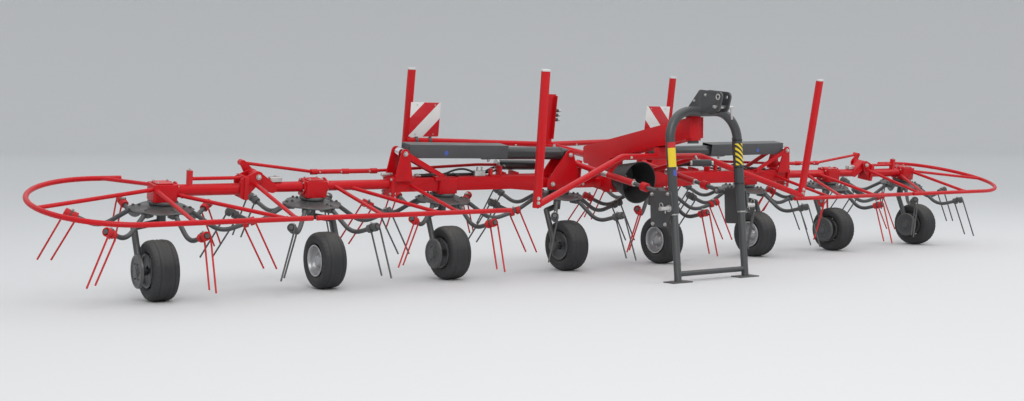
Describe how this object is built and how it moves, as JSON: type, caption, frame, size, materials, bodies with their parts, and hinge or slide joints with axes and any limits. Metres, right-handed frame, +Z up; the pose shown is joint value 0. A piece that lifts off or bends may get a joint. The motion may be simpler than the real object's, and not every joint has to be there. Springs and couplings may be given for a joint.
{
  "type": "hay tedder",
  "caption": "Three-point mounted rotary hay tedder, unfolded on its wheels and stand, with folding wings and spinning tined rotors.",
  "frame": {"origin": "under the middle of the machine, on the ground", "axes": "+X across the machine along its width, +Y to the rear, away from the tractor, +Z up"},
  "size_m": [9.2736, 2.2677, 1.6166],
  "materials": {
    "red_paint": "gloss enamel",
    "graphite_paint": "satin enamel",
    "tyre_rubber": "matt",
    "rim_silver": "satin silver enamel",
    "black_paint": "semi-gloss enamel",
    "rod_steel": "ground and chromed",
    "zinc_steel": "zinc plated",
    "tine_red": "powder coat",
    "tine_grey": "powder coat",
    "cover_grey": "satin enamel",
    "panel_white": "retro-reflective sheet",
    "guard_black": "matt"
  },
  "bodies": {
    "centre": {"centre_frame": "red_paint", "guards": "red_paint", "warning_panels": "panel_white", "centre_legs": "graphite_paint", "pto_guard": "guard_black", "dampers": "red_paint"},
    "headstock": {"headstock": "graphite_paint", "hitch_pins": "zinc_steel"},
    "stand": {"stand": "graphite_paint"},
    "pto_shaft": {"pto_shaft": "zinc_steel"},
    "wing_L": {"wing_beam_L": "red_paint", "wing_legs_L": "graphite_paint", "tip_cylinder_L": "black_paint"},
    "tip_L": {"tip_beam_L": "red_paint", "tip_leg_L": "graphite_paint"},
    "fold_barrel_L": {"fold_barrel_L": "black_paint"},
    "fold_rod_L": {"fold_rod_L": "rod_steel", "cylinder_cover_L": "cover_grey"},
    "tip_rod_L": {"tip_rod_L": "zinc_steel"},
    "wing_R": {"wing_beam_R": "red_paint", "wing_legs_R": "graphite_paint", "tip_cylinder_R": "black_paint"},
    "tip_R": {"tip_beam_R": "red_paint", "tip_leg_R": "graphite_paint"},
    "fold_barrel_R": {"fold_barrel_R": "black_paint"},
    "fold_rod_R": {"fold_rod_R": "rod_steel", "cylinder_cover_R": "cover_grey"},
    "tip_rod_R": {"tip_rod_R": "zinc_steel"},
    "rotor_1": {"rotor_1": "graphite_paint", "tines_1": "tine_red"},
    "wheel_1": {"tyre_1": "tyre_rubber", "rim_1": "rim_silver"},
    "rotor_2": {"rotor_2": "graphite_paint", "tines_2": "tine_grey"},
    "wheel_2": {"tyre_2": "tyre_rubber", "rim_2": "rim_silver"},
    "rotor_3": {"rotor_3": "graphite_paint", "tines_3": "tine_red"},
    "wheel_3": {"tyre_3": "tyre_rubber", "rim_3": "rim_silver"},
    "rotor_4": {"rotor_4": "graphite_paint", "tines_4": "tine_grey"},
    "wheel_4": {"tyre_4": "tyre_rubber", "rim_4": "rim_silver"},
    "rotor_5": {"rotor_5": "graphite_paint", "tines_5": "tine_red"},
    "wheel_5": {"tyre_5": "tyre_rubber", "rim_5": "rim_silver"},
    "rotor_6": {"rotor_6": "graphite_paint", "tines_6": "tine_grey"},
    "wheel_6": {"tyre_6": "tyre_rubber", "rim_6": "rim_silver"},
    "rotor_7": {"rotor_7": "graphite_paint", "tines_7": "tine_red"},
    "wheel_7": {"tyre_7": "tyre_rubber", "rim_7": "rim_silver"},
    "rotor_8": {"rotor_8": "graphite_paint", "tines_8": "tine_grey"},
    "wheel_8": {"tyre_8": "tyre_rubber", "rim_8": "rim_silver"}
  },
  "joints": [
    {"name": "headstock_swivel", "type": "hinge", "parent": "centre", "child": "headstock", "pos_m": [0, -0.77888, 1.123], "axis": [0, 0, 1], "range_deg": [-10, 10]},
    {"name": "stand_slide", "type": "slide", "parent": "headstock", "child": "stand", "axis": [0, 0.0924, 0.9957], "range_m": [0, 0.33]},
    {"name": "wing_fold_L", "type": "hinge", "parent": "centre", "child": "wing_L", "pos_m": [-0.62, 0.23773, 0.70013], "axis": [0, 0.9869, 0.1616], "range_deg": [0, 79]},
    {"name": "tip_fold_L", "type": "hinge", "parent": "wing_L", "child": "tip_L", "pos_m": [-3.1, 0.22157, 0.79882], "axis": [0, 0.9869, 0.1616], "range_deg": [0, 174]},
    {"name": "fold_barrel_turn_L", "type": "hinge", "parent": "centre", "child": "fold_barrel_L", "pos_m": [-0.47, 0.20024, 0.92908], "axis": [0, 0.9869, 0.1616], "range_deg": [-0.01, 81.25]},
    {"name": "fold_rod_slide_L", "type": "slide", "parent": "fold_barrel_L", "child": "fold_rod_L", "axis": [-0.9999, -0.0021, 0.0131], "range_m": [-0.34817, 0]},
    {"name": "tip_rod_slide_L", "type": "slide", "parent": "wing_L", "child": "tip_rod_L", "axis": [-0.9998, -0.0033, 0.02], "range_m": [-0.10995, 0]},
    {"name": "wing_fold_R", "type": "hinge", "parent": "centre", "child": "wing_R", "pos_m": [0.62, 0.23773, 0.70013], "axis": [0, -0.9869, -0.1616], "range_deg": [0, 79]},
    {"name": "tip_fold_R", "type": "hinge", "parent": "wing_R", "child": "tip_R", "pos_m": [3.1, 0.22157, 0.79882], "axis": [0, -0.9869, -0.1616], "range_deg": [0, 174]},
    {"name": "fold_barrel_turn_R", "type": "hinge", "parent": "centre", "child": "fold_barrel_R", "pos_m": [0.47, 0.20024, 0.92908], "axis": [0, -0.9869, -0.1616], "range_deg": [-0.01, 81.25]},
    {"name": "fold_rod_slide_R", "type": "slide", "parent": "fold_barrel_R", "child": "fold_rod_R", "axis": [0.9999, -0.0021, 0.0131], "range_m": [-0.34817, 0]},
    {"name": "tip_rod_slide_R", "type": "slide", "parent": "wing_R", "child": "tip_rod_R", "axis": [0.9998, -0.0033, 0.02], "range_m": [-0.10995, 0]},
    {"name": "rotor_1_spin", "type": "hinge", "parent": "tip_L", "child": "rotor_1", "pos_m": [-3.74, 0.26844, 0.51263], "axis": [0, -0.1616, 0.9869], "continuous": true},
    {"name": "wheel_1_roll", "type": "hinge", "parent": "tip_L", "child": "wheel_1", "pos_m": [-3.81, 0.13612, 0.2], "axis": [1, 0, 0], "continuous": true},
    {"name": "rotor_2_spin", "type": "hinge", "parent": "wing_L", "child": "rotor_2", "pos_m": [-2.66, 0.26844, 0.51263], "axis": [0, -0.1616, 0.9869], "continuous": true},
    {"name": "wheel_2_roll", "type": "hinge", "parent": "wing_L", "child": "wheel_2", "pos_m": [-2.62, 0.13612, 0.2], "axis": [1, 0, 0], "continuous": true},
    {"name": "rotor_3_spin", "type": "hinge", "parent": "wing_L", "child": "rotor_3", "pos_m": [-1.58, 0.26844, 0.51263], "axis": [0, -0.1616, 0.9869], "continuous": true},
    {"name": "wheel_3_roll", "type": "hinge", "parent": "wing_L", "child": "wheel_3", "pos_m": [-1.597, 0.13612, 0.2], "axis": [1, 0, 0], "continuous": true},
    {"name": "rotor_4_spin", "type": "hinge", "parent": "centre", "child": "rotor_4", "pos_m": [-0.5, 0.26844, 0.51263], "axis": [0, -0.1616, 0.9869], "continuous": true},
    {"name": "wheel_4_roll", "type": "hinge", "parent": "centre", "child": "wheel_4", "pos_m": [-0.5, 0.13612, 0.2], "axis": [1, 0, 0], "continuous": true},
    {"name": "rotor_5_spin", "type": "hinge", "parent": "centre", "child": "rotor_5", "pos_m": [0.5, 0.26844, 0.51263], "axis": [0, -0.1616, 0.9869], "continuous": true},
    {"name": "wheel_5_roll", "type": "hinge", "parent": "centre", "child": "wheel_5", "pos_m": [0.5, 0.13612, 0.2], "axis": [1, 0, 0], "continuous": true},
    {"name": "rotor_6_spin", "type": "hinge", "parent": "wing_R", "child": "rotor_6", "pos_m": [1.58, 0.26844, 0.51263], "axis": [0, -0.1616, 0.9869], "continuous": true},
    {"name": "wheel_6_roll", "type": "hinge", "parent": "wing_R", "child": "wheel_6", "pos_m": [1.597, 0.13612, 0.2], "axis": [1, 0, 0], "continuous": true},
    {"name": "rotor_7_spin", "type": "hinge", "parent": "wing_R", "child": "rotor_7", "pos_m": [2.66, 0.26844, 0.51263], "axis": [0, -0.1616, 0.9869], "continuous": true},
    {"name": "wheel_7_roll", "type": "hinge", "parent": "wing_R", "child": "wheel_7", "pos_m": [2.62, 0.13612, 0.2], "axis": [1, 0, 0], "continuous": true},
    {"name": "rotor_8_spin", "type": "hinge", "parent": "tip_R", "child": "rotor_8", "pos_m": [3.74, 0.26844, 0.51263], "axis": [0, -0.1616, 0.9869], "continuous": true},
    {"name": "wheel_8_roll", "type": "hinge", "parent": "tip_R", "child": "wheel_8", "pos_m": [3.81, 0.13612, 0.2], "axis": [1, 0, 0], "continuous": true},
    {"name": "pto_spin", "type": "hinge", "parent": "centre", "child": "pto_shaft", "pos_m": [0, -0.00387, 0.72137], "axis": [0, 0.9869, 0.1616], "continuous": true}
  ],
  "couplings": [
    {"joint": "fold_barrel_turn_L", "follows": "wing_fold_L", "ratio": 1.0283},
    {"joint": "fold_rod_slide_L", "follows": "wing_fold_L", "m_per_rad": -0.25215},
    {"joint": "tip_rod_slide_L", "follows": "tip_fold_L", "m_per_rad": -0.036041},
    {"joint": "fold_barrel_turn_R", "follows": "wing_fold_R", "ratio": 1.0283},
    {"joint": "fold_rod_slide_R", "follows": "wing_fold_R", "m_per_rad": -0.25215},
    {"joint": "tip_rod_slide_R", "follows": "tip_fold_R", "m_per_rad": -0.036041},
    {"joint": "rotor_1_spin", "follows": "rotor_4_spin", "ratio": -1},
    {"joint": "rotor_2_spin", "follows": "rotor_4_spin", "ratio": 1},
    {"joint": "rotor_3_spin", "follows": "rotor_4_spin", "ratio": -1},
    {"joint": "rotor_5_spin", "follows": "rotor_4_spin", "ratio": -1},
    {"joint": "rotor_6_spin", "follows": "rotor_4_spin", "ratio": 1},
    {"joint": "rotor_7_spin", "follows": "rotor_4_spin", "ratio": -1},
    {"joint": "rotor_8_spin", "follows": "rotor_4_spin", "ratio": 1},
    {"joint": "pto_spin", "follows": "rotor_4_spin", "ratio": 3}
  ]
}
